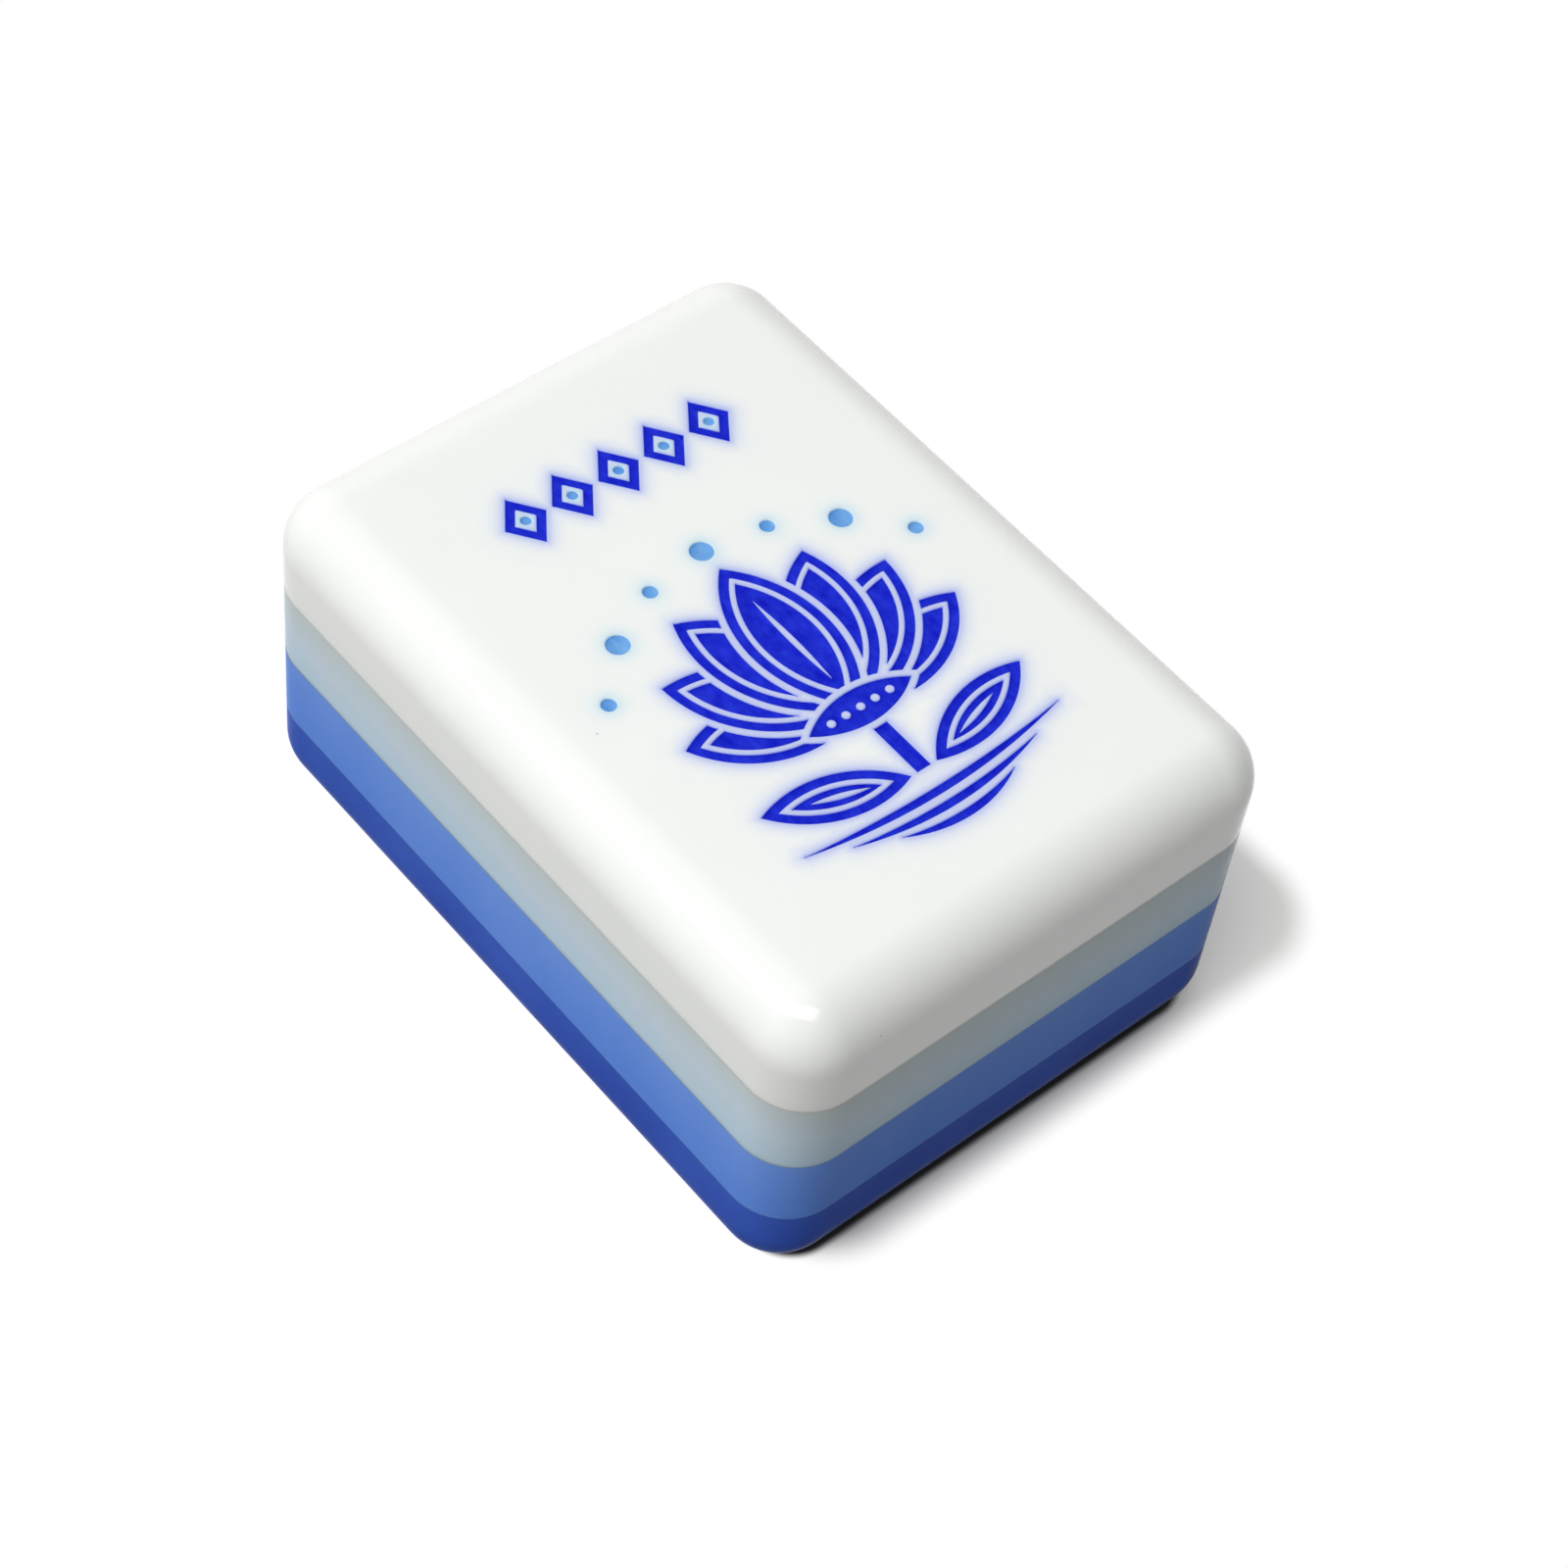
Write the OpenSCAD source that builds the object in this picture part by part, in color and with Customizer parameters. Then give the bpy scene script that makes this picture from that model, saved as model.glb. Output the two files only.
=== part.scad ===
// Mahjong tile: four sheets of plastic glued in a stack, with an engraved face filled with paint.
// The back lies at z = 0 and the face looks up. The tile's width runs along X and its length along Y.

/* [Tile] */
// Width of the tile
tile_w = 22; // [20:0.5:30]
// Length of the tile
tile_l = 30; // [26:0.5:42]
// Radius of every outer edge and corner
edge_r = 2.3; // [0.6:0.1:2.8]

/* [Sheets] */
// Thickness of the white face sheet
face_t = 4.15; // [3.2:0.05:6]
// Thickness of the translucent sheet
clear_t = 3.35; // [1:0.05:6]
// Thickness of the light blue sheet
blue_t = 3.25; // [1:0.05:6]
// Thickness of the deep blue back sheet
back_t = 3.9; // [3:0.05:6]
// Thickness of each glue film
glue_t = 0.05; // [0.02:0.01:0.2]

/* [Engraving] */
// Depth of the cuts in the face
engrave_depth = 0.4; // [0.25:0.05:1]
// How far the paint stops below the face
paint_recess = 0.1; // [0.02:0.01:0.2]
// Width of the white land left between neighbouring motifs
land_w = 0.28; // [0.2:0.02:0.4]
// Width of the painted rim round each petal and leaf
rim_w = 0.36; // [0.2:0.02:0.5]
// Width of the white line inside that rim
line_w = 0.22; // [0.15:0.01:0.35]
// Width of the white vein along the middle of the front petal and of each leaf
vein_w = 0.24; // [0.12:0.02:0.3]
// Distance from the foot of the front petal or a leaf to its vein
vein_foot = 1.5; // [1.2:0.1:2]
// Distance from the vein to the tip of the front petal or a leaf
vein_tip = 1.8; // [1.4:0.1:2.2]

/* [Flower] */
// Distance from the leaves' foot up to the flower's foot
stem_l = 3.3; // [3:0.1:3.8]
// Length of the front petal
petal_l = 7.6; // [6.5:0.1:8.6]
// Width of the front petal
petal_w = 3.3; // [2.6:0.1:3.8]
// Angle between neighbouring petals
petal_turn = 24; // [20:1:27]
// How much shorter each pair of petals is than the one before it
petal_shorter = 0.4; // [0:0.05:0.6]
// How much narrower each pair of petals is than the one before it
petal_narrower = 0.2; // [0:0.05:0.3]
// Width of the cup under the petals
cup_w = 4.6; // [3.6:0.1:5.6]
// Height of the cup
cup_h = 1.5; // [1.1:0.1:1.9]
// Radius of the white seeds in the cup
seed_r = 0.17; // [0.1:0.01:0.24]
// Distance between neighbouring seeds
seed_pitch = 0.66; // [0.5:0.02:0.72]
// Width of the stem
stem_w = 0.6; // [0.4:0.05:0.9]

/* [Water] */
// Distance from the tile's middle down to the leaves' foot
water_drop = 8.2; // [7.4:0.1:8.8]
// Distance from the leaves' foot down to the ends of the top ripple
ripple_drop = 0.5; // [0.4:0.05:0.8]
// How far the top ripple's ends stop short of the leaves' tips
ripple_short = 0.1; // [0:0.05:1]
// How much narrower each ripple is than the one above it
ripple_narrower = 3.2; // [2:0.1:3.6]
// Distance between ripples
ripple_pitch = 0.64; // [0.56:0.01:0.8]
// Depth of a ripple's bow
ripple_bow = 0.66; // [0.5:0.02:0.8]
// Greatest thickness of a ripple
ripple_t = 0.32; // [0.2:0.02:0.4]
// How much shorter a leaf is than the front petal
leaf_shorter = 2.1; // [1.6:0.1:3]
// Width of a leaf
leaf_w = 1.9; // [1.4:0.1:2.2]
// Tilt of a leaf
leaf_tilt = 17; // [12:1:22]

/* [Dots] */
// Radius of the large dots round the flower
dot_r = 0.44; // [0.3:0.02:0.6]
// Radius of the small dots between them
small_dot_r = 0.28; // [0.18:0.02:0.4]
// Clear distance from the front petal's tip to the middle of the dots
dot_gap = 1; // [0.8:0.05:1.3]
// Angle between neighbouring dots
dot_turn = 18; // [12:1:20]

/* [Lozenge row] */
// Distance from the tile's middle up to the middle of the row
row_rise = 8.4; // [7:0.1:9.2]
// Width of a lozenge
lozenge_w = 1.8; // [1.4:0.1:2.3]
// Height of a lozenge
lozenge_h = 2.4; // [1.8:0.1:3]
// Width of a lozenge's painted frame
frame_w = 0.34; // [0.2:0.02:0.4]
// Radius of the dot in a lozenge
lozenge_dot_r = 0.2; // [0.12:0.02:0.26]

/* [Hidden] */
$fn = 180;

petal_pairs = 3;
ripple_count = 3;
dot_count = 7;
lozenge_count = 5;
seed_count = 5;

// Heights of the sheets' undersides, from the table up
back_glue_z = back_t;
blue_z = back_glue_z + glue_t;
middle_glue_z = blue_z + blue_t;
clear_z = middle_glue_z + glue_t;
face_glue_z = clear_z + clear_t;
face_z = face_glue_z + glue_t;
tile_h = face_z + face_t;

// Middles of the corner rounds
core_x = tile_w / 2 - edge_r;
core_y = tile_l / 2 - edge_r;

// Places and sizes in the motif that follow from others
water_y = -water_drop;
flower_y = water_y + stem_l;
leaf_l = petal_l - leaf_shorter;
leaf_foot_x = stem_w / 2 + land_w;
leaf_reach = leaf_foot_x + leaf_l * cos(leaf_tilt);
ripple_w = 2 * (leaf_reach - ripple_short);

// Floor of the engraved cuts, which run out through the face
pocket_z = tile_h - engrave_depth;
paint_t = engrave_depth - paint_recess;

WHITE = [0.98, 0.99, 0.98];
CLEAR = [0.70, 0.76, 0.80];
LIGHT_BLUE = [0.38, 0.54, 0.82];
DEEP_BLUE = [0.20, 0.30, 0.70];
GLUE = [0.86, 0.89, 0.90];
ROYAL_PAINT = [0.06, 0.12, 0.78];
SKY_PAINT = [0.40, 0.63, 0.90];

function petal_length(tier) = petal_l - tier * petal_shorter;
function petal_width(tier) = petal_w - tier * petal_narrower;

// Outline of the tile seen from above
module tile_outline() {
    square([2 * core_x, tile_l], center = true);
    square([tile_w, 2 * core_y], center = true);
    for (x = [-core_x, core_x], y = [-core_y, core_y])
        translate([x, y])
            circle(edge_r);
}

// Section of an edge: a straight side that turns into the face by a quarter round
module edge_section(height) {
    square([edge_r, height - edge_r]);
    translate([0, height - edge_r])
        intersection() {
            circle(edge_r);
            square(edge_r);
        }
}

// Sheet with a cut underside at z = 0 and a face whose edges and corners are rounded
module rounded_sheet(height) {
    translate([-core_x, -core_y, 0])
        cube([2 * core_x, 2 * core_y, height]);
    for (side = [0, 1])
        mirror([side, 0, 0])
            translate([core_x, 0, 0])
                rotate([90, 0, 0])
                    linear_extrude(height = 2 * core_y, center = true)
                        edge_section(height);
    for (end = [0, 1])
        mirror([0, end, 0])
            translate([0, core_y, 0])
                rotate([90, 0, 90])
                    linear_extrude(height = 2 * core_x, center = true)
                        edge_section(height);
    for (side = [0, 1], end = [0, 1])
        mirror([side, 0, 0])
            mirror([0, end, 0])
                translate([core_x, core_y, 0])
                    rotate_extrude(angle = 90)
                        edge_section(height);
}

// Layer between two sheets, with upright sides
module flat_layer(z, thickness) {
    translate([0, 0, z])
        linear_extrude(height = thickness)
            tile_outline();
}

// Leaf shape with a point at each end, from the origin up along Y, grown all round by grow
module pointed(length, width, grow = 0) {
    arc_r = (length * length + width * width) / (4 * width);
    intersection() {
        translate([arc_r - width / 2, length / 2])
            circle(arc_r + grow);
        translate([width / 2 - arc_r, length / 2])
            circle(arc_r + grow);
    }
}

// Leaf shape with a white line running inside its rim
module rimmed(length, width) {
    difference() {
        pointed(length, width);
        pointed(length, width, -rim_w);
    }
    pointed(length, width, -rim_w - line_w);
}

// Rimmed leaf shape with a white vein along its middle
module veined(length, width) {
    difference() {
        rimmed(length, width);
        translate([0, vein_foot])
            pointed(length - vein_foot - vein_tip, vein_w);
    }
}

// Puts a shape at both turns of a petal pair, or once for the front petal
module petal_places(tier) {
    for (side = tier == 0 ? [0] : [-1, 1])
        translate([0, flower_y])
            rotate(side * tier * petal_turn)
                children();
}

// Space that a pair of petals keeps clear of whatever lies behind it
module petal_clearance(tier) {
    petal_places(tier)
        pointed(petal_length(tier), petal_width(tier), land_w);
}

module cup_place() {
    translate([cup_w / 2, flower_y])
        rotate(90)
            children();
}

module cup_clearance() {
    cup_place()
        pointed(cup_w, cup_h, land_w);
}

// Front petal, or a pair of petals, cut back where nearer petals and the cup cover it
module petals_outline(tier) {
    difference() {
        petal_places(tier)
            if (tier == 0)
                veined(petal_length(tier), petal_width(tier));
            else
                rimmed(petal_length(tier), petal_width(tier));
        for (front = [0 : 1 : tier - 1])
            petal_clearance(front);
        cup_clearance();
    }
}

// Cup with a row of seeds left standing in its paint
module cup_outline() {
    difference() {
        cup_place()
            pointed(cup_w, cup_h);
        for (i = [0 : seed_count - 1])
            translate([(i - (seed_count - 1) / 2) * seed_pitch, flower_y])
                circle(seed_r);
    }
}

// Stem from the cup down to the water
module stem_outline() {
    difference() {
        translate([-stem_w / 2, water_y])
            square([stem_w, flower_y - water_y]);
        cup_clearance();
    }
}

// Puts a leaf shape on each side of the stem's foot
module leaf_places() {
    for (side = [0, 1])
        mirror([side, 0])
            translate([leaf_foot_x, water_y])
                rotate(leaf_tilt - 90)
                    children();
}

module leaf_outline() {
    leaf_places()
        veined(leaf_l, leaf_w);
}

module leaf_clearance() {
    leaf_places()
        pointed(leaf_l, leaf_w, land_w);
}

// Crescent that hangs from a chord of the given width
module crescent(width, bow, thickness) {
    outer_r = (width * width / 4 + bow * bow) / (2 * bow);
    inner_bow = bow - thickness;
    inner_r = (width * width / 4 + inner_bow * inner_bow) / (2 * inner_bow);
    difference() {
        translate([0, outer_r - bow])
            circle(outer_r);
        translate([0, inner_r - inner_bow])
            circle(inner_r);
    }
}

module ripples_outline() {
    difference() {
        for (row = [0 : ripple_count - 1])
            translate([0, water_y - ripple_drop - row * ripple_pitch])
                crescent(ripple_w - row * ripple_narrower, ripple_bow, ripple_t);
        leaf_clearance();
    }
}

// Dots fanned round the flower's foot, large and small by turns
module sky_dots_outline() {
    for (i = [0 : dot_count - 1])
        translate([0, flower_y])
            rotate((i - (dot_count - 1) / 2) * dot_turn)
                translate([0, petal_l + dot_gap])
                    circle(i % 2 == 1 ? dot_r : small_dot_r);
}

module lozenge_places() {
    for (i = [0 : lozenge_count - 1])
        translate([(i - (lozenge_count - 1) / 2) * (lozenge_w + land_w), row_rise])
            children();
}

module lozenge(half_w, half_h) {
    polygon([[half_w, 0], [0, half_h], [-half_w, 0], [0, -half_h]]);
}

module lozenge_frames_outline() {
    half_w = lozenge_w / 2;
    half_h = lozenge_h / 2;
    slant = sqrt(half_w * half_w + half_h * half_h);
    lozenge_places()
        difference() {
            lozenge(half_w, half_h);
            lozenge(half_w - frame_w * slant / half_h, half_h - frame_w * slant / half_w);
        }
}

module lozenge_dots_outline() {
    lozenge_places()
        circle(lozenge_dot_r);
}

// Everything that is cut into the face
module engraving_outline() {
    for (tier = [0 : petal_pairs])
        petals_outline(tier);
    cup_outline();
    stem_outline();
    leaf_outline();
    ripples_outline();
    sky_dots_outline();
    lozenge_frames_outline();
    lozenge_dots_outline();
}

// Paint that fills the cuts of one motif
module paint() {
    translate([0, 0, pocket_z])
        linear_extrude(height = paint_t)
            children();
}

module face_slab() {
    color(WHITE)
        difference() {
            translate([0, 0, face_z])
                rounded_sheet(face_t);
            translate([0, 0, pocket_z])
                linear_extrude(height = 2 * engrave_depth)
                    engraving_outline();
        }
}

module clear_slab() {
    color(CLEAR)
        flat_layer(clear_z, clear_t);
}

module blue_slab() {
    color(LIGHT_BLUE)
        flat_layer(blue_z, blue_t);
}

module back_slab() {
    color(DEEP_BLUE)
        translate([0, 0, back_t])
            mirror([0, 0, 1])
                rounded_sheet(back_t);
}

module face_glue() {
    color(GLUE)
        flat_layer(face_glue_z, glue_t);
}

module middle_glue() {
    color(GLUE)
        flat_layer(middle_glue_z, glue_t);
}

module back_glue() {
    color(GLUE)
        flat_layer(back_glue_z, glue_t);
}

module front_petal() {
    color(ROYAL_PAINT)
        paint()
            petals_outline(0);
}

module inner_petals() {
    color(ROYAL_PAINT)
        paint()
            petals_outline(1);
}

module middle_petals() {
    color(ROYAL_PAINT)
        paint()
            petals_outline(2);
}

module outer_petals() {
    color(ROYAL_PAINT)
        paint()
            petals_outline(3);
}

module flower_cup() {
    color(ROYAL_PAINT)
        paint()
            cup_outline();
}

module flower_stem() {
    color(ROYAL_PAINT)
        paint()
            stem_outline();
}

module leaf_pair() {
    color(ROYAL_PAINT)
        paint()
            leaf_outline();
}

module ripples() {
    color(ROYAL_PAINT)
        paint()
            ripples_outline();
}

module sky_dots() {
    color(SKY_PAINT)
        paint()
            sky_dots_outline();
}

module lozenge_frames() {
    color(ROYAL_PAINT)
        paint()
            lozenge_frames_outline();
}

module lozenge_dots() {
    color(SKY_PAINT)
        paint()
            lozenge_dots_outline();
}

face_slab();
clear_slab();
blue_slab();
back_slab();
face_glue();
middle_glue();
back_glue();
front_petal();
inner_petals();
middle_petals();
outer_petals();
flower_cup();
flower_stem();
leaf_pair();
ripples();
sky_dots();
lozenge_frames();
lozenge_dots();
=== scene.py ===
"""Looks of a mahjong tile: four glued sheets of plastic and an engraved face filled with paint."""

import math

import bmesh
import bpy
import numpy as np
from mathutils import Matrix, Vector, kdtree, noise
from mathutils.geometry import delaunay_2d_cdt


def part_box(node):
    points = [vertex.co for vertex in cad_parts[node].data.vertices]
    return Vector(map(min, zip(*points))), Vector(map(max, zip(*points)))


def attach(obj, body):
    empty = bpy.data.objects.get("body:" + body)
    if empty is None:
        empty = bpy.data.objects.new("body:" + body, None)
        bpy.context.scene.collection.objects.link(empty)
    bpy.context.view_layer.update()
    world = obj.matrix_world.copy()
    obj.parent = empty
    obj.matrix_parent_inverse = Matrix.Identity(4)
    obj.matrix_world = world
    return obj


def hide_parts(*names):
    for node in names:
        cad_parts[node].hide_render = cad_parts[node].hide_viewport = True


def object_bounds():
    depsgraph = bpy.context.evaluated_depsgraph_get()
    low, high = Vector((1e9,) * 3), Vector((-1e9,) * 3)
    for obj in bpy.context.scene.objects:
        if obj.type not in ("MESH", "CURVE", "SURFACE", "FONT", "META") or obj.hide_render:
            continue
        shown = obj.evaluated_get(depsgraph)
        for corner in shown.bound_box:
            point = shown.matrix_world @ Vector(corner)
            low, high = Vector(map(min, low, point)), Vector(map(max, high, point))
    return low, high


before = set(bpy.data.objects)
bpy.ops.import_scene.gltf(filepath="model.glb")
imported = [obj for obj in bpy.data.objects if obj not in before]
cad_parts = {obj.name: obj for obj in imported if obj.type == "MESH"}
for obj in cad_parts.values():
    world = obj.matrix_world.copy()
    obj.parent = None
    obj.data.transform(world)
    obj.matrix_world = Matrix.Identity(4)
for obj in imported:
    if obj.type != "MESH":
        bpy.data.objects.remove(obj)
CAD_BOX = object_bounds()

MM = 0.001

# Points closer than this are welded. The triangulation tells points apart that are much closer.
WELD = 0.0005 * MM
SAME_POINT = 0.001 * WELD

# Sizes that the frame gives
TILE_LOW, TILE_HIGH = CAD_BOX
HALF_W = TILE_HIGH.x
HALF_L = TILE_HIGH.y
FACE_Z = TILE_HIGH.z
FACE_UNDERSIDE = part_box("face_slab")[0].z
CLEAR_LOW, CLEAR_HIGH = (corner.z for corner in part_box("clear_slab"))
BLUE_LOW, BLUE_HIGH = (corner.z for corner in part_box("blue_slab"))
POCKET_FLOOR, PAINT_LEVEL = (corner.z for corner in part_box("front_petal"))

# Rounding of the tile's outer edges and corners
EDGE_R = 2.3 * MM
EDGE_STEPS = 20
QUARTER_TURN = math.pi / 2

# Edges of a piece that turn by more than this look sharp
SHARP_TURN = math.radians(50)

# Fine form of the engraving and of the paint in it
OUTLINE_STEP = 0.1 * MM
CORNER_TURN = math.radians(12)
LIP_R = 0.05 * MM
LIP_RINGS = (0.006 * MM, 0.02 * MM, 0.05 * MM)
# Rings round the pockets that carry the painted glow
PAINTED_GLOW_RINGS = (0.1 * MM, 0.17 * MM, 0.28 * MM, 0.45 * MM, 0.7 * MM)
FACE_GRID = 0.9 * MM
PAINT_RINGS = (0.02 * MM, 0.05 * MM, 0.09 * MM, 0.14 * MM)
PAINT_GRID = 0.2 * MM
PAINT_CLIMB = 0.045 * MM
PAINT_CLIMB_WIDTH = 0.05 * MM
PAINT_SWELL = 0.012 * MM
PAINT_SWELL_SIZE = 0.9 * MM

# A point beside an outline is kept where no other stretch of it comes closer than this share of its offset
RING_SLACK = 0.93

# Share of a grid's step that its points keep from the border
GRID_CLEARANCE = 1 / 3

# Kind of triangulation that covers everything between the outermost points
WHOLE_HULL = 0

# How far the painted glow reaches into the white plastic round the paint: the paint's blue, painted on as
# light scattered through the plastic
PAINTED_GLOW_WIDTH = 0.25 * MM

ROYAL_NODES = (
    "front_petal", "inner_petals", "middle_petals", "outer_petals", "flower_cup",
    "flower_stem", "leaf_pair", "ripples", "lozenge_frames",
)
SKY_NODES = ("sky_dots", "lozenge_dots")


def paint_loops(node):
    """Outlines of a paint node's upper face, each with the paint on its left."""
    mesh = bmesh.new()
    mesh.from_mesh(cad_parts[node].data)
    bmesh.ops.remove_doubles(mesh, verts=mesh.verts, dist=WELD)
    mesh.faces.index_update()
    upper = [f for f in mesh.faces if all(abs(v.co.z - PAINT_LEVEL) < WELD for v in f.verts)]
    upper_indices = {face.index for face in upper}
    following = {}
    for face in upper:
        for corner in face.loops:
            beyond = [f.index for f in corner.edge.link_faces if f != face]
            if not upper_indices.intersection(beyond):
                following[corner.vert] = corner.link_loop_next.vert
    loops = []
    while following:
        vert = next(iter(following))
        loop = []
        while vert in following:
            loop.append(vert.co.xy)
            vert = following.pop(vert)
        loops.append(fine_loop(loop))
    mesh.free()
    return loops


def fine_loop(points):
    """The outline in short steps: its arcs become round, and its sharp corners stay."""
    count = len(points)
    chords = [points[(i + 1) % count] - points[i] for i in range(count)]
    headings = []
    for i in range(count):
        turn = abs(chords[i - 1].angle_signed(chords[i]))
        mean = (chords[i - 1].normalized() + chords[i].normalized()).normalized()
        headings.append(mean if turn < CORNER_TURN else None)
    fine = []
    for i in range(count):
        leave = headings[i]
        arrive = headings[(i + 1) % count]
        along = chords[i].normalized()
        # At a sharp corner the arc's heading mirrors the one at its other end
        if leave is None:
            leave = along if arrive is None else 2 * along.dot(arrive) * along - arrive
        if arrive is None:
            arrive = 2 * along.dot(leave) * along - leave
        fine.extend(arc_points(points[i], points[(i + 1) % count], leave, arrive))
    return fine


def arc_points(start, end, leave, arrive):
    """Points from start up to, but without, end on a cubic Hermite arc with the given headings."""
    length = (end - start).length
    steps = max(1, math.ceil(length / OUTLINE_STEP))
    points = []
    for i in range(steps):
        t = i / steps
        points.append(
            (2 * t**3 - 3 * t**2 + 1) * start
            + (t**3 - 2 * t**2 + t) * length * leave
            + (3 * t**2 - 2 * t**3) * end
            + (t**3 - t**2) * length * arrive
        )
    return points


class Outlines:
    """Closed outlines on the face, with tests for what lies inside them and how near."""

    def __init__(self, loops):
        self.loops = loops
        self.points = [point for loop in loops for point in loop]
        self.sides = []
        self.tree = kdtree.KDTree(len(self.points))
        first = 0
        for loop in loops:
            for i, point in enumerate(loop):
                self.tree.insert((point.x, point.y, 0), first + i)
                self.sides.append((loop[i - 1], loop[(i + 1) % len(loop)]))
            first += len(loop)
        self.tree.balance()

    def distance(self, point):
        """Distance from a point to the nearest outline."""
        _, nearest, _ = self.tree.find((point.x, point.y, 0))
        corner = self.points[nearest]
        return min(distance_to_line(point, corner, end) for end in self.sides[nearest])

    def holds(self, points):
        """For each point, whether it lies inside the outlines, with their holes left out."""
        xy = np.array([(p.x, p.y) for p in points])
        inside = np.zeros(len(xy), bool)
        for loop in self.loops:
            corners = np.array([(p.x, p.y) for p in loop])
            near = np.all((xy >= corners.min(0)) & (xy <= corners.max(0)), axis=1)
            x, y = xy[near].T
            crossed = np.zeros(len(x), bool)
            for (x1, y1), (x2, y2) in zip(corners, np.roll(corners, -1, axis=0)):
                if y1 != y2:
                    level = (y1 > y) != (y2 > y)
                    crossed ^= level & (x < x1 + (x2 - x1) * (y - y1) / (y2 - y1))
            inside[near] ^= crossed
        return inside

    def rings(self, offsets, side):
        """Points beside the outlines: side 1 is in the paint, -1 in the plastic round it."""
        beside = []
        for loop in self.loops:
            for i, point in enumerate(loop):
                along = (loop[(i + 1) % len(loop)] - loop[i - 1]).normalized()
                across = Vector((-along.y, along.x)) * side
                for offset in offsets:
                    candidate = point + across * offset
                    if self.distance(candidate) > RING_SLACK * offset:
                        beside.append(candidate)
        return beside


def distance_to_line(point, start, end):
    """Distance from a point to the straight line between two others."""
    along = end - start
    t = (point - start).dot(along) / along.length_squared
    return (point - start - along * min(1, max(0, t))).length


def grid_points(low, high, step):
    """Points of a staggered grid inside a box, clear of its border."""
    points = []
    row_step = step * math.sqrt(3) / 2
    rows = math.ceil((high.y - low.y) / row_step)
    columns = math.ceil((high.x - low.x) / step)
    for row in range(1, rows):
        shift = step / 2 if row % 2 else 0
        for column in range(1, columns):
            point = Vector((low.x + shift + column * step, low.y + row * row_step))
            if max(point.x - high.x, point.y - high.y) < -GRID_CLEARANCE * step:
                points.append(point)
    return points


def triangulate(loops, extra):
    """Triangles over outlines and loose points: (points, triples of indices into them)."""
    points = []
    edges = []
    for loop in loops:
        first = len(points)
        points.extend(loop)
        edges.extend((first + i, first + (i + 1) % len(loop)) for i in range(len(loop)))
    points.extend(extra)
    made, _, triangles, *_ = delaunay_2d_cdt(points, edges, [], WHOLE_HULL, SAME_POINT, False)
    return made, [t for t in triangles if not is_sliver(*(made[i] for i in t))]


def is_sliver(a, b, c):
    """Whether three points lie on a line, as they can along a straight border."""
    longest = max((b - a).length, (c - b).length, (a - c).length)
    return abs((b - a).cross(c - a)) < WELD * longest


def middles(points, triangles):
    """Middle of each triangle."""
    return [(points[a] + points[b] + points[c]) / 3 for a, b, c in triangles]


def add_sheet(mesh, points, triangles, height, upward=True):
    """Adds triangles to a mesh, at a height that is given for each point."""
    verts = {}
    for index in sorted({i for triangle in triangles for i in triangle}):
        point = points[index]
        verts[index] = mesh.verts.new((point.x, point.y, height(point)))
    for triangle in triangles:
        corners = [verts[i] for i in triangle]
        a, b, c = (points[i] for i in triangle)
        if ((b - a).cross(c - a) > 0) != upward:
            corners.reverse()
        mesh.faces.new(corners)


def add_wall(mesh, low, high):
    """Joins two closed rings of points by a wall whose outside is on the rings' right."""
    low_verts = [mesh.verts.new(p) for p in low]
    high_verts = [mesh.verts.new(p) for p in high]
    for i in range(len(low)):
        j = (i + 1) % len(low)
        mesh.faces.new((low_verts[i], low_verts[j], high_verts[j], high_verts[i]))


def at_height(loop, z):
    """Points of a flat loop at one height."""
    return [(p.x, p.y, z) for p in loop]


def finished(mesh, name):
    """Welds a mesh, shades it smooth apart from its sharp edges and links it as a new object."""
    bmesh.ops.remove_doubles(mesh, verts=mesh.verts, dist=WELD)
    bmesh.ops.dissolve_degenerate(mesh, edges=mesh.edges, dist=WELD)
    for face in mesh.faces:
        face.smooth = True
    data = bpy.data.meshes.new(name)
    mesh.to_mesh(data)
    mesh.free()
    data.set_sharp_from_angle(angle=SHARP_TURN)
    piece = bpy.data.objects.new(name, data)
    bpy.context.scene.collection.objects.link(piece)
    return piece


def edge_ring(inset, z):
    """Ring round the tile at a height, drawn in from the sides; its corners are round."""
    core_x = HALF_W - EDGE_R
    core_y = HALF_L - EDGE_R
    radius = EDGE_R - inset
    middles_of_corners = ((core_x, core_y), (-core_x, core_y), (-core_x, -core_y), (core_x, -core_y))
    ring = []
    for quarter, (x, y) in enumerate(middles_of_corners):
        for step in range(EDGE_STEPS + 1):
            angle = QUARTER_TURN * (quarter + step / EDGE_STEPS)
            ring.append(Vector((x + radius * math.cos(angle), y + radius * math.sin(angle), z)))
        ring.extend(straight_points(ring[-1], quarter, radius, middles_of_corners))
    return ring


def straight_points(start, quarter, radius, middles_of_corners):
    """Points between the end of one corner of a ring and the start of the next."""
    angle = QUARTER_TURN * (quarter + 1)
    x, y = middles_of_corners[(quarter + 1) % len(middles_of_corners)]
    end = Vector((x + radius * math.cos(angle), y + radius * math.sin(angle), start.z))
    steps = round((end - start).length / FACE_GRID)
    return [start.lerp(end, i / steps) for i in range(1, steps)]


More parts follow.
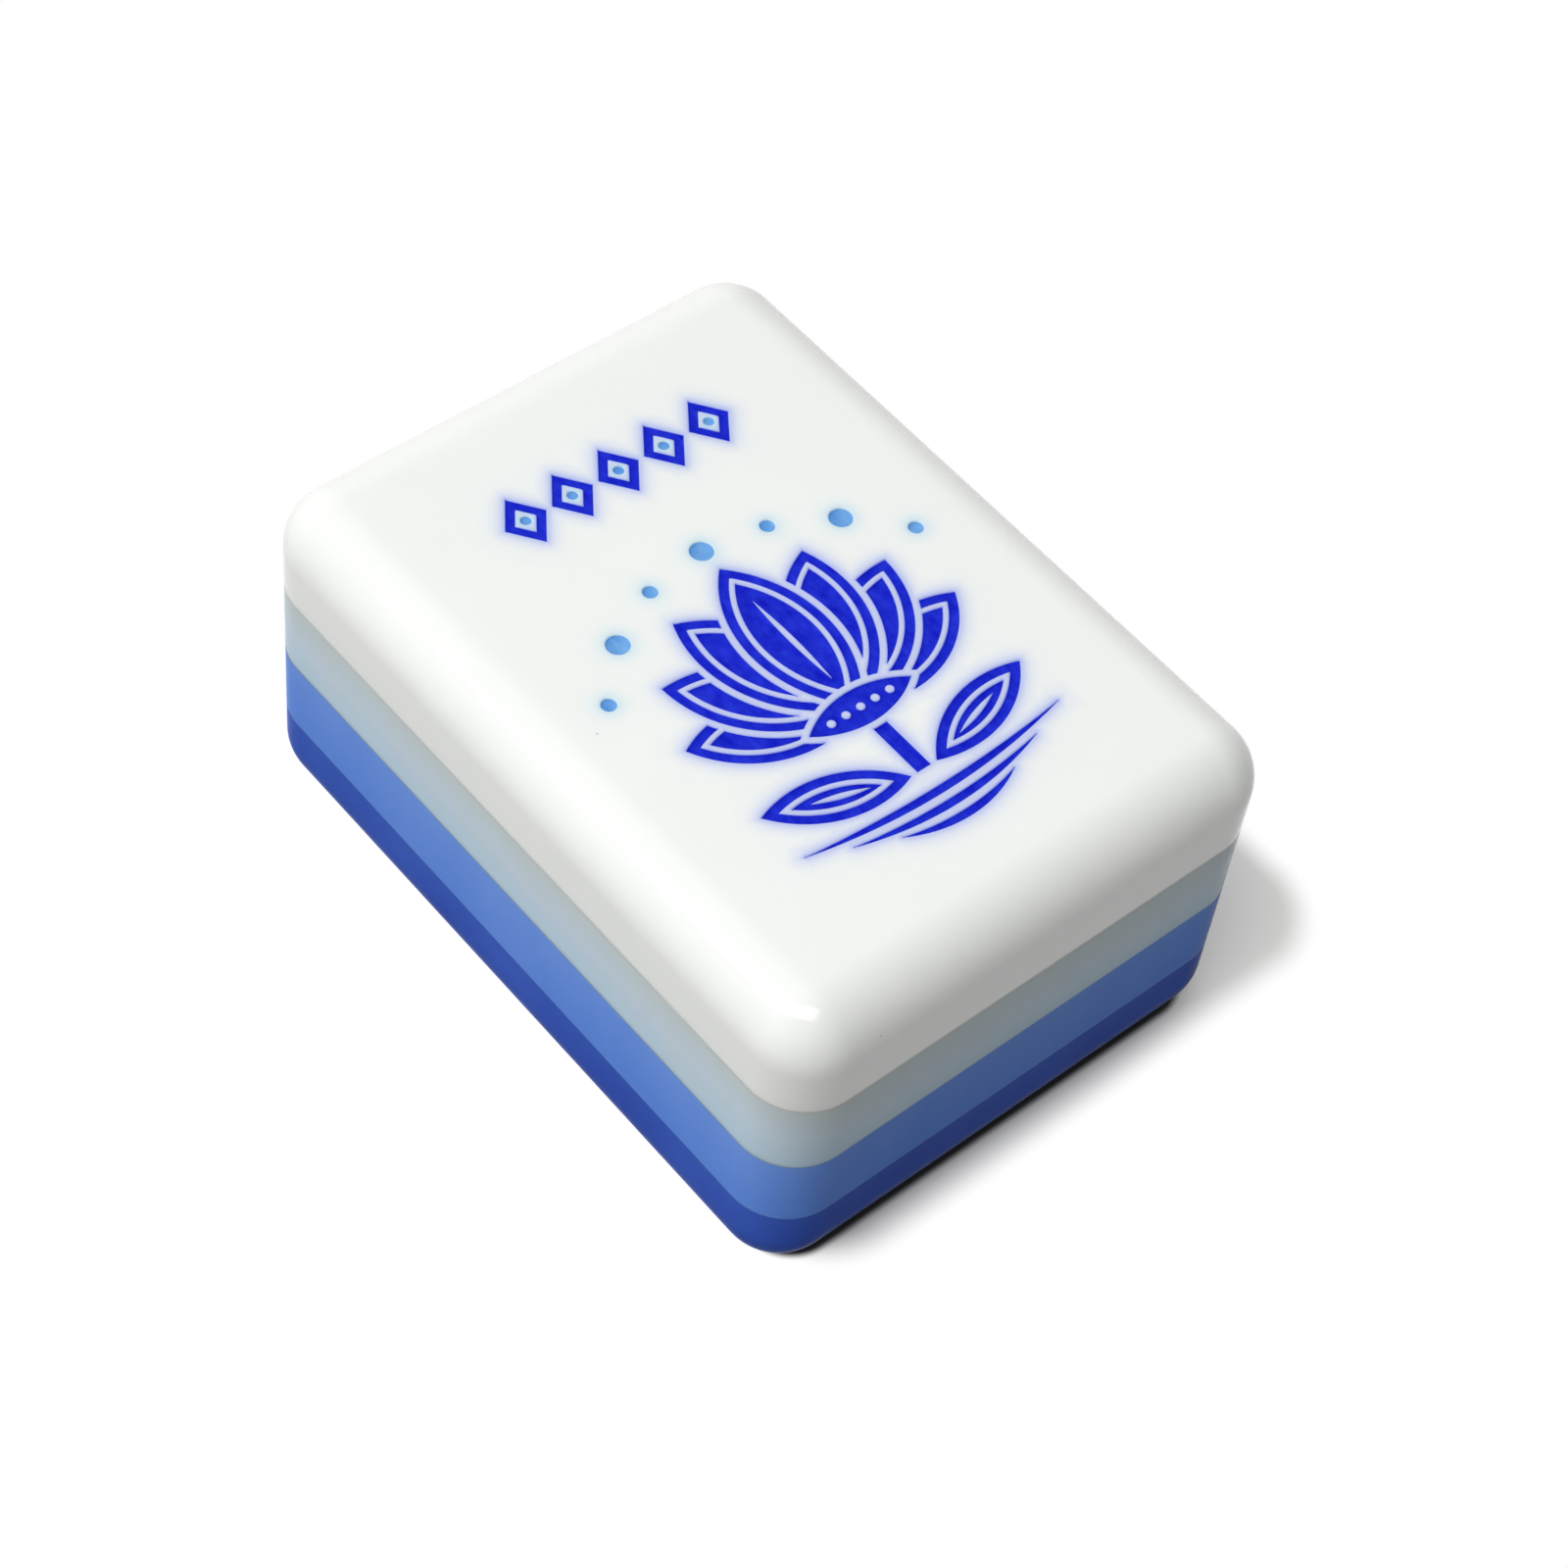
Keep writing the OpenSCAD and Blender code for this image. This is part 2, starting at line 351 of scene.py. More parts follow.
def make_face(pockets):
    """White sheet with round edges and corners, and engraved pockets with softened lips."""
    mesh = bmesh.new()
    flat = [p.xy for p in edge_ring(EDGE_R, FACE_Z)]
    flat = [p for i, p in enumerate(flat) if (p - flat[i - 1]).length > WELD]
    loose = pockets.rings(LIP_RINGS + PAINTED_GLOW_RINGS, -1)
    corner = Vector((HALF_W - EDGE_R, HALF_L - EDGE_R))
    loose += [p for p in grid_points(-corner, corner, FACE_GRID) if pockets.distance(p) > PAINTED_GLOW_RINGS[-1]]
    loose = [p for p, hidden in zip(loose, pockets.holds(loose)) if not hidden]
    points, triangles = triangulate([flat] + pockets.loops, loose)
    hidden = pockets.holds(middles(points, triangles))
    triangles = [t for t, h in zip(triangles, hidden) if not h]

    def lip_height(point):
        reach = min(pockets.distance(point), LIP_R)
        return FACE_Z - LIP_R + math.sqrt(LIP_R**2 - (LIP_R - reach) ** 2)

    add_sheet(mesh, points, triangles, lip_height)
    for loop in pockets.loops:
        backwards = loop[::-1]
        add_wall(mesh, at_height(backwards, POCKET_FLOOR), at_height(backwards, FACE_Z - LIP_R))
    add_floor(mesh, pockets, POCKET_FLOOR, True)
    rings = [edge_ring(0, FACE_UNDERSIDE)]
    for step in range(EDGE_STEPS + 1):
        angle = QUARTER_TURN * step / EDGE_STEPS
        inset = EDGE_R * (1 - math.cos(angle))
        rings.append(edge_ring(inset, FACE_Z - EDGE_R * (1 - math.sin(angle))))
    for below, above in zip(rings, rings[1:]):
        add_wall(mesh, below, above)
    mesh.faces.new([mesh.verts.new(p) for p in reversed(rings[0])])
    return finished(mesh, "white_face")


def add_floor(mesh, outlines, z, upward):
    """Closes outlines with a flat sheet."""
    points, triangles = triangulate(outlines.loops, [])
    inside = outlines.holds(middles(points, triangles))
    add_sheet(mesh, points, [t for t, i in zip(triangles, inside) if i], lambda p: z, upward)


def make_paint(node, outlines):
    """Dried paint that fills the pockets of one motif and climbs a little up their walls."""
    mesh = bmesh.new()
    low, high = (corner.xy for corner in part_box(node))
    loose = outlines.rings(PAINT_RINGS, 1)
    loose += [p for p in grid_points(low, high, PAINT_GRID) if outlines.distance(p) > PAINT_RINGS[-1]]
    loose = [p for p, inside in zip(loose, outlines.holds(loose)) if inside]
    points, triangles = triangulate(outlines.loops, loose)
    inside = outlines.holds(middles(points, triangles))
    triangles = [t for t, i in zip(triangles, inside) if i]

    def paint_height(point):
        reach = outlines.distance(point)
        climb = PAINT_CLIMB * math.exp(-reach / PAINT_CLIMB_WIDTH)
        swell = PAINT_SWELL * noise.noise(Vector((point.x, point.y, 0)) / PAINT_SWELL_SIZE)
        return PAINT_LEVEL + climb + swell * min(1, reach / PAINT_RINGS[-1])

    add_sheet(mesh, points, triangles, paint_height)
    for loop in outlines.loops:
        add_wall(mesh, at_height(loop, POCKET_FLOOR), at_height(loop, PAINT_LEVEL + PAINT_CLIMB))
    add_floor(mesh, outlines, POCKET_FLOOR, False)
    return finished(mesh, node + "_paint")


def store_painted_glow(piece, name, outlines):
    """Writes how strongly the painted glow shows in the white plastic at each vertex: the paint's blue,
    painted on as light scattered through the plastic.
    """
    values = []
    for vert in piece.data.vertices:
        on_face = vert.co.z > PAINT_LEVEL
        values.append(math.exp(-outlines.distance(vert.co.xy) / PAINTED_GLOW_WIDTH) if on_face else 0)
    layer = piece.data.attributes.new(name, "FLOAT", "POINT")
    layer.data.foreach_set("value", values)


# Stretch of a noise whose features are as tall as they are wide
EVEN = (1, 1, 1)

# Colour sockets of a mix node, which come after those for numbers and vectors
MIX_FIRST = 6
MIX_SECOND = 7
MIX_RESULT = 2


class Surface:
    """A material under construction: a Principled shader and the nodes that feed it."""

    def __init__(self, name, **values):
        self.material = bpy.data.materials.new(name)
        self.material.use_nodes = True
        self.tree = self.material.node_tree
        self.shader = self.tree.nodes["Principled BSDF"]
        for socket, value in values.items():
            self.shader.inputs[socket.replace("_", " ")].default_value = value
        place = self.node("ShaderNodeTexCoord").outputs["Object"]
        self.place_mm = self.vector("SCALE", place, scale=1 / MM)

    def node(self, kind, **settings):
        """Adds a node with the given settings."""
        made = self.tree.nodes.new(kind)
        for name, value in settings.items():
            setattr(made, name, value)
        return made

    def feed(self, socket, value):
        """Links a socket to another node's output, or sets it to a plain value."""
        if isinstance(value, bpy.types.NodeSocket):
            self.tree.links.new(value, socket)
        else:
            socket.default_value = value

    def set(self, name, value):
        """Feeds an input of the Principled shader."""
        self.feed(self.shader.inputs[name], value)

    def math(self, operation, *values):
        """Result of an operation on numbers."""
        made = self.node("ShaderNodeMath", operation=operation)
        for socket, value in zip(made.inputs, values):
            self.feed(socket, value)
        return made.outputs[0]

    def vector(self, operation, *values, scale=None):
        """Result of an operation on vectors."""
        made = self.node("ShaderNodeVectorMath", operation=operation)
        for socket, value in zip(made.inputs, values):
            self.feed(socket, value)
        if scale is not None:
            made.inputs["Scale"].default_value = scale
        return made.outputs[0]

    def span(self, value, low, high, to_low, to_high, smooth=False):
        """Maps a range onto another and clamps it there."""
        made = self.node("ShaderNodeMapRange")
        if smooth:
            made.interpolation_type = "SMOOTHSTEP"
        for socket, given in zip(made.inputs, (value, low, high, to_low, to_high)):
            self.feed(socket, given)
        return made.outputs[0]

    def blend(self, share, first, second):
        """Colour that goes from the first to the second as the share goes from 0 to 1."""
        made = self.node("ShaderNodeMix", data_type="RGBA")
        self.feed(made.inputs["Factor"], share)
        self.feed(made.inputs[MIX_FIRST], first)
        self.feed(made.inputs[MIX_SECOND], second)
        return made.outputs[MIX_RESULT]

    def noise(self, size_mm, detail=2.0, stretch=EVEN, turn=0.0):
        """Noise from 0 to 1 whose features are about size_mm across."""
        place = self.place_mm
        if turn or stretch != EVEN:
            mapped = self.node("ShaderNodeMapping")
            self.feed(mapped.inputs["Vector"], place)
            mapped.inputs["Rotation"].default_value = (turn, turn, turn)
            mapped.inputs["Scale"].default_value = stretch
            place = mapped.outputs[0]
        made = self.node("ShaderNodeTexNoise")
        self.feed(made.inputs["Vector"], place)
        made.inputs["Scale"].default_value = 1 / size_mm
        made.inputs["Detail"].default_value = detail
        return made.outputs["Fac"]

    def relief(self, *heights):
        """Bumps from (height from 0 to 1, depth in mm) pairs."""
        normal = None
        for height, depth_mm in heights:
            bump = self.node("ShaderNodeBump")
            self.feed(bump.inputs["Height"], height)
            bump.inputs["Distance"].default_value = depth_mm * MM
            if normal is not None:
                self.feed(bump.inputs["Normal"], normal)
            normal = bump.outputs[0]
        self.set("Normal", normal)

    def height_mm(self):
        """Height of the shaded point, in mm."""
        split = self.node("ShaderNodeSeparateXYZ")
        self.feed(split.inputs[0], self.place_mm)
        return split.outputs["Z"]

    def attribute(self, name):
        """Value that the mesh stores at its vertices."""
        return self.node("ShaderNodeAttribute", attribute_name=name).outputs["Fac"]


# Most of a noise's values lie between these two, round their middle
NOISE_LOW = 0.3
NOISE_HIGH = 0.7
NOISE_MIDDLE = 0.5

# Stretch that makes a noise's features taller than they are wide
UPRIGHT = (1, 1, 0.6)

PLASTIC_IOR = 1.49
PAINT_IOR = 1.47

# Polished plastic: sizes of its hazy patches and of its waves, and the waves' depth, in mm
HAZE_SIZE = 1.6
WAVE_SIZE = 2.8
WAVE_DEPTH = 0.004
# Roughness of the white sheet and of the coloured ones, where they are smooth and where they are dull
WHITE_POLISH = (0.05, 0.1)
COLOUR_POLISH = (0.16, 0.26)


def polish(surface, smooth, dull):
    """Polished plastic: hazy patches between a smooth and a dull roughness, and a faint waviness."""
    haze = surface.noise(HAZE_SIZE, detail=4.0)
    surface.set("Roughness", surface.span(haze, NOISE_LOW, NOISE_HIGH, smooth, dull))
    surface.relief((surface.noise(WAVE_SIZE, detail=1.0), WAVE_DEPTH))


# White sheet: clouds between two whites, with their size in mm
WHITE_DULL = (0.898, 0.925, 0.915, 1)
WHITE_BRIGHT = (0.933, 0.955, 0.948, 1)
WHITE_CLOUD_SIZE = 4.5
# Rare specks in the white, in cells whose random value is high enough; their radii are shares of a cell
SPECK_COLOUR = (0.42, 0.43, 0.44, 1)
SPECK_STRENGTH = 0.5
SPECK_CELLS_PER_MM = 0.42
SPECK_VALUE = 0.62
SPECK_CORE = 0.012
SPECK_RIM = 0.03
# Painted glow round the paint: its blue, painted into the white as light scattered through the plastic,
# and how strongly it shows
ROYAL_PAINTED_GLOW = (0.35, 0.43, 0.97, 1)
ROYAL_PAINTED_GLOW_STRENGTH = 0.92
SKY_PAINTED_GLOW = (0.52, 0.77, 0.96, 1)
SKY_PAINTED_GLOW_STRENGTH = 0.75


def white_plastic():
    """White plastic with faint clouds, rare specks and a painted glow round the cuts: the paint's blue as
    light scattered through the plastic.
    """
    surface = Surface(
        "white_plastic", IOR=PLASTIC_IOR, Specular_IOR_Level=0.5, Subsurface_Weight=0.35,
        Subsurface_Scale=0.4 * MM, Subsurface_Radius=(1.0, 0.95, 0.9),
    )
    clouds = surface.noise(WHITE_CLOUD_SIZE, detail=3.0)
    colour = surface.blend(clouds, WHITE_DULL, WHITE_BRIGHT)
    cells = surface.node("ShaderNodeTexVoronoi")
    surface.feed(cells.inputs["Vector"], surface.place_mm)
    cells.inputs["Scale"].default_value = SPECK_CELLS_PER_MM
    picked = surface.math("GREATER_THAN", cells.outputs["Color"], SPECK_VALUE)
    speck = surface.span(cells.outputs["Distance"], SPECK_CORE, SPECK_RIM, SPECK_STRENGTH, 0, True)
    colour = surface.blend(surface.math("MULTIPLY", speck, picked), colour, SPECK_COLOUR)
    # Painted glow: the paint's blue mixed into the white near the cuts, standing in for light scattered
    # through the plastic
    royal = surface.math("MULTIPLY", surface.attribute("royal_painted_glow"), ROYAL_PAINTED_GLOW_STRENGTH)
    colour = surface.blend(royal, colour, ROYAL_PAINTED_GLOW)
    sky = surface.math("MULTIPLY", surface.attribute("sky_painted_glow"), SKY_PAINTED_GLOW_STRENGTH)
    colour = surface.blend(sky, colour, SKY_PAINTED_GLOW)
    surface.set("Base Color", colour)
    polish(surface, *WHITE_POLISH)
    return surface.material


# Translucent sheet: its colours, and the shares of its height between which they change
CLEAR_BOTTOM = (0.57, 0.765, 0.965, 1)
CLEAR_MIDDLE = (0.67, 0.795, 0.925, 1)
CLEAR_TOP = (0.66, 0.755, 0.79, 1)
CLEAR_BOTTOM_RANGE = (0.0, 0.55)
CLEAR_TOP_RANGE = (0.5, 1.0)
# Wisps that shift these colours up and down: their size in mm, and their reach as a share of the height
WISP_SIZE = 3.0
WISP_REACH = 0.35


def clear_plastic():
    """Translucent plastic, bluer towards its underside, with faint wisps."""
    surface = Surface(
        "clear_plastic", IOR=PLASTIC_IOR, Specular_IOR_Level=0.015, Transmission_Weight=0.05,
        Subsurface_Weight=0.4, Subsurface_Scale=0.5 * MM, Subsurface_Radius=(0.9, 1.0, 1.1),
    )
    rise = surface.span(surface.height_mm(), CLEAR_LOW / MM, CLEAR_HIGH / MM, 0, 1)
    wisps = surface.noise(WISP_SIZE, detail=3.0, stretch=UPRIGHT)
    wisps = surface.math("SUBTRACT", wisps, NOISE_MIDDLE)
    rise = surface.math("MULTIPLY_ADD", wisps, WISP_REACH, rise)
    colour = surface.blend(surface.span(rise, *CLEAR_BOTTOM_RANGE, 0, 1), CLEAR_BOTTOM, CLEAR_MIDDLE)
    colour = surface.blend(surface.span(rise, *CLEAR_TOP_RANGE, 0, 1), colour, CLEAR_TOP)
    surface.set("Base Color", colour)
    polish(surface, *COLOUR_POLISH)
    return surface.material


# Blue sheets: the share of the upper colour at their lower and upper side, and size in mm and strength
# of the swirls that shift it
BLUE_SHARES = (0.1, 0.9)
SWIRL_SIZE = 4.0
SWIRL_REACH = 1.1


def blue_plastic(name, low_colour, high_colour, low, high):
    """Blue plastic between two heights, with one colour below, another above and faint swirls."""
    surface = Surface(
        name, IOR=PLASTIC_IOR, Specular_IOR_Level=0.003, Subsurface_Weight=0.2,
        Subsurface_Scale=0.3 * MM, Subsurface_Radius=(0.5, 0.7, 1.0),
    )
    rise = surface.span(surface.height_mm(), low / MM, high / MM, *BLUE_SHARES)
    swirls = surface.noise(SWIRL_SIZE, detail=3.0, stretch=UPRIGHT)
    swirls = surface.math("SUBTRACT", swirls, NOISE_MIDDLE)
    share = surface.math("MULTIPLY_ADD", swirls, SWIRL_REACH, rise)
    surface.set("Base Color", surface.blend(share, low_colour, high_colour))
    polish(surface, *COLOUR_POLISH)
    return surface.material


# Glue films: the brightness that is left in darker places, and sizes and depth of their unevenness in mm
GLUE_DARKER = 0.85
GLUE_PATCH_SIZE = 0.8
GLUE_HAZE_SIZE = 0.5
GLUE_RIPPLE_SIZE = 0.4
GLUE_RIPPLE_DEPTH = 0.001
GLUE_ROUGHNESS = (0.25, 0.4)
GLUE_STRETCH = (1, 1, 0.2)


def glue_film(name, colour):
    """Glue that shows as a thin line between two sheets."""
    surface = Surface(name, IOR=PAINT_IOR, Specular_IOR_Level=0.06)
    thin = surface.noise(GLUE_PATCH_SIZE, detail=3.0, stretch=GLUE_STRETCH)
    darker = tuple(GLUE_DARKER * part for part in colour[:3]) + (1,)
    surface.set("Base Color", surface.blend(thin, darker, colour))
    haze = surface.noise(GLUE_HAZE_SIZE)
    surface.set("Roughness", surface.span(haze, NOISE_LOW, NOISE_HIGH, *GLUE_ROUGHNESS))
    ripples = surface.noise(GLUE_RIPPLE_SIZE, stretch=GLUE_STRETCH)
    surface.relief((ripples, GLUE_RIPPLE_DEPTH))
    return surface.material


# Paint: sizes of its pools, brush strokes and grain, and the depth of the last two, in mm. The strokes are
# longer than wide, and turned.
POOL_SIZE = 0.55
STROKE_SIZE = 0.22
STROKE_DEPTH = 0.003
STROKE_STRETCH = (1, 0.3, 1)
STROKE_TURN = 0.6
STROKE_DETAIL = 3.0
GRAIN_SIZE = 0.16
GRAIN_DEPTH = 0.004
PAINT_ROUGHNESS = (0.3, 0.5)
# How much pools and strokes count in the paint's colour, and the range in which it goes from thick to thin
POOL_SHARE = 0.8
STROKE_SHARE = 0.5
THICK_TO_THIN = (0.42, 0.85)


def enamel(name, thin_colour, thick_colour):
    """Brushed-in paint: pooled and darker in places, thin and lighter in others."""
    surface = Surface(name, IOR=PAINT_IOR, Specular_IOR_Level=0.04)
    pools = surface.noise(POOL_SIZE, detail=5.0)
    strokes = surface.noise(STROKE_SIZE, STROKE_DETAIL, STROKE_STRETCH, STROKE_TURN)
    share = surface.math("MULTIPLY", pools, POOL_SHARE)
    share = surface.math("MULTIPLY_ADD", strokes, STROKE_SHARE, share)
    thin = surface.span(share, *THICK_TO_THIN, 0, 1)
    surface.set("Base Color", surface.blend(thin, thick_colour, thin_colour))
    surface.set("Roughness", surface.span(pools, NOISE_LOW, NOISE_HIGH, *PAINT_ROUGHNESS))
    surface.relief((surface.noise(GRAIN_SIZE, detail=3.0), GRAIN_DEPTH), (strokes, STROKE_DEPTH))
    return surface.material


def coat(piece, material):
    """Gives a piece one material on every face."""
    piece.data.materials.clear()
    piece.data.materials.append(material)


def dress(piece, material, slot, *nodes):
    """Finishes a new piece that stands for CAD nodes."""
    coat(piece, material)
    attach(piece, "root")
    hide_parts(*nodes)


# Colours of the paints, of the blue sheets' lower and upper sides, and of the glue films
ROYAL_THIN = (0.018, 0.036, 0.7, 1)
ROYAL_THICK = (0.003, 0.008, 0.53, 1)
SKY_THIN = (0.19, 0.43, 0.82, 1)
SKY_THICK = (0.09, 0.3, 0.74, 1)
LIGHT_BLUE_LOW = (0.128, 0.29, 0.89, 1)
LIGHT_BLUE_HIGH = (0.186, 0.356, 0.94, 1)
DEEP_BLUE_LOW = (0.028, 0.074, 0.46, 1)
DEEP_BLUE_HIGH = (0.054, 0.128, 0.61, 1)
GLUE_COLOURS = {
    "face_glue": (0.72, 0.76, 0.75, 1),
    "middle_glue": (0.3, 0.46, 0.76, 1),
    "back_glue": (0.07, 0.18, 0.64, 1),
}


def build_tile():
    """Dresses the tile: new meshes for the face and the paint, materials for the sheets and the glue."""
    outlines = {node: Outlines(paint_loops(node)) for node in ROYAL_NODES + SKY_NODES}
    royal_all = Outlines([loop for node in ROYAL_NODES for loop in outlines[node].loops])
    sky_all = Outlines([loop for node in SKY_NODES for loop in outlines[node].loops])
    face = make_face(Outlines(royal_all.loops + sky_all.loops))
    # Painted glow round the paint, stored at the face's vertices for the white's colour
    store_painted_glow(face, "royal_painted_glow", royal_all)
    store_painted_glow(face, "sky_painted_glow", sky_all)
    dress(face, white_plastic(), "white_plastic", "face_slab")
    royal = enamel("royal_enamel", ROYAL_THIN, ROYAL_THICK)
    sky = enamel("sky_enamel", SKY_THIN, SKY_THICK)
    for node in ROYAL_NODES:
        dress(make_paint(node, outlines[node]), royal, "royal_paint", node)
    for node in SKY_NODES:
        dress(make_paint(node, outlines[node]), sky, "sky_paint", node)
    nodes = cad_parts
    coat(nodes["clear_slab"], clear_plastic())
    light = blue_plastic("light_blue_plastic", LIGHT_BLUE_LOW, LIGHT_BLUE_HIGH, BLUE_LOW, BLUE_HIGH)
    deep = blue_plastic("deep_blue_plastic", DEEP_BLUE_LOW, DEEP_BLUE_HIGH, TILE_LOW.z, BLUE_LOW)
    coat(nodes["blue_slab"], light)
    coat(nodes["back_slab"], deep)
    for node, colour in GLUE_COLOURS.items():
        coat(nodes[node], glue_film(node, colour))


# Camera, fitted to the photograph's outline: angles in degrees, distance from the point that it looks at
CAMERA_AZIMUTH = -46.73
CAMERA_ELEVATION = 51.77
CAMERA_ROLL = 8.55
CAMERA_DISTANCE = 132.51 * MM
CAMERA_TARGET = Vector((-0.07, -1.95, 7.4)) * MM
IMAGE_SIDE_PX = 1600
FOCAL_PX = 3755.17
SENSOR_MM = 36
CLIP_START = 5 * MM


def make_camera():
    """Camera that sees the tile as the photograph does."""
    azimuth = math.radians(CAMERA_AZIMUTH)
    elevation = math.radians(CAMERA_ELEVATION)
    level = math.cos(elevation)
    back = Vector((math.sin(azimuth) * level, -math.cos(azimuth) * level, math.sin(elevation)))
    right = Vector((math.cos(azimuth), math.sin(azimuth), 0))
    axes = Matrix((right, back.cross(right), back)).transposed()
    turned = axes @ Matrix.Rotation(math.radians(CAMERA_ROLL), 3, "Z")
    data = bpy.data.cameras.new("camera")
    data.sensor_width = SENSOR_MM
    data.lens = FOCAL_PX * SENSOR_MM / IMAGE_SIDE_PX
    data.clip_start = CLIP_START
    camera = bpy.data.objects.new("camera", data)
    camera.matrix_world = Matrix.Translation(CAMERA_TARGET + back * CAMERA_DISTANCE) @ turned.to_4x4()
    bpy.context.scene.collection.objects.link(camera)
    bpy.context.scene.camera = camera


# Long softbox that hangs level above the tile's left side, turned so that its far end is further out.
# Its brightness is that of its panel, where 1 renders as white.
SOFTBOX_PLACE = Vector((-180, 30, 300)) * MM
SOFTBOX_LENGTH = 450 * MM
SOFTBOX_WIDTH = 125 * MM
SOFTBOX_TURN = math.radians(126)
SOFTBOX_LEVEL = 3.76
SOFTBOX_COLOUR = (0.98, 1, 1)


def make_softbox():
    """Lamp over the tile's left side."""
    data = bpy.data.lights.new("softbox", "AREA")
    data.shape = "RECTANGLE"
    data.size = SOFTBOX_LENGTH
    data.size_y = SOFTBOX_WIDTH
    data.energy = SOFTBOX_LEVEL * math.pi * SOFTBOX_LENGTH * SOFTBOX_WIDTH
    data.color = SOFTBOX_COLOUR
    lamp = bpy.data.objects.new("softbox", data)
    lamp.location = SOFTBOX_PLACE
    lamp.rotation_euler = (0, 0, SOFTBOX_TURN)
    lamp.visible_camera = False
    bpy.context.scene.collection.objects.link(lamp)


# Soft light all round: its middle brightness, how that rises along each axis, up to 1, and its tint
AMBIENT_LEVEL = 0.96
AMBIENT_SLOPE = (-0.4, 0.64, -0.48)
AMBIENT_COLOUR = (1, 0.99, 0.95, 1)
BACKGROUND_COLOUR = (1, 1, 1, 1)


def seen_ray(tree):
    """1 for rays that show a surface to the camera: directly, by a mirror image or through glass."""
    path = tree.nodes.new("ShaderNodeLightPath")
    total = path.outputs["Is Camera Ray"]
    for name in ("Is Glossy Ray", "Is Transmission Ray"):
        either = tree.nodes.new("ShaderNodeMath")
        either.operation = "MAXIMUM"
        tree.links.new(total, either.inputs[0])
        tree.links.new(path.outputs[name], either.inputs[1])
        total = either.outputs[0]
    return total


def mixed(tree, share, first, second):
    """Shader that goes from the first to the second as the share goes from 0 to 1."""
    made = tree.nodes.new("ShaderNodeMixShader")
    for socket, output in zip(made.inputs, (share, first, second)):
        tree.links.new(output, socket)
    return made.outputs[0]


def make_world():
    """Soft light, strongest from the far left of the tile, which shows as a white background."""
    world = bpy.data.worlds.new("studio")
    world.use_nodes = True
    tree = world.node_tree
    direction = tree.nodes.new("ShaderNodeTexCoord")
    rise = tree.nodes.new("ShaderNodeVectorMath")
    rise.operation = "DOT_PRODUCT"
    rise.inputs[1].default_value = AMBIENT_SLOPE
    tree.links.new(direction.outputs["Generated"], rise.inputs[0])
    level = tree.nodes.new("ShaderNodeMath")
    level.operation = "ADD"
    level.use_clamp = True
    level.inputs[1].default_value = AMBIENT_LEVEL
    tree.links.new(rise.outputs["Value"], level.inputs[0])
    ambient = tree.nodes["Background"]
    ambient.inputs["Color"].default_value = AMBIENT_COLOUR
    tree.links.new(level.outputs[0], ambient.inputs["Strength"])
    white = tree.nodes.new("ShaderNodeBackground")
    white.inputs["Color"].default_value = BACKGROUND_COLOUR
    choice = mixed(tree, seen_ray(tree), ambient.outputs[0], white.outputs[0])
    tree.links.new(choice, tree.nodes["World Output"].inputs["Surface"])
    bpy.context.scene.world = world


# Floor: half its side in metres, its cells, and its colour where it is seen and where it lights the tile
FLOOR_HALF = 1.5
FLOOR_CELLS = 8
FLOOR_COLOUR = (0.985, 0.98, 0.965, 1)
FLOOR_BOUNCE = (0.12, 0.12, 0.12, 1)
# The shadow shows on a patch like the tile's outline, wider and moved away from the softbox, and fades
# out round it. Under the tile's rounded lower edge, on a smaller patch, a painted shadow makes the floor
# almost black. The lengths are in mm.
SHADOW_SHIFT = (3.9, 0.3)
SHADOW_WIDEN = 1.2
SHADOW_INSET = 0
SHADOW_FADE = 1.6
# Painted shadow: the almost black colour of the floor under the tile's rounded lower edge
PAINTED_CONTACT_SHADOW = (0.05, 0.05, 0.05, 1)
PAINTED_CONTACT_SHADOW_SHIFT = (0.35, 0)
PAINTED_CONTACT_SHADOW_WIDEN = -0.35
PAINTED_CONTACT_SHADOW_INSET = 0.6
PAINTED_CONTACT_SHADOW_FADE = 0.35


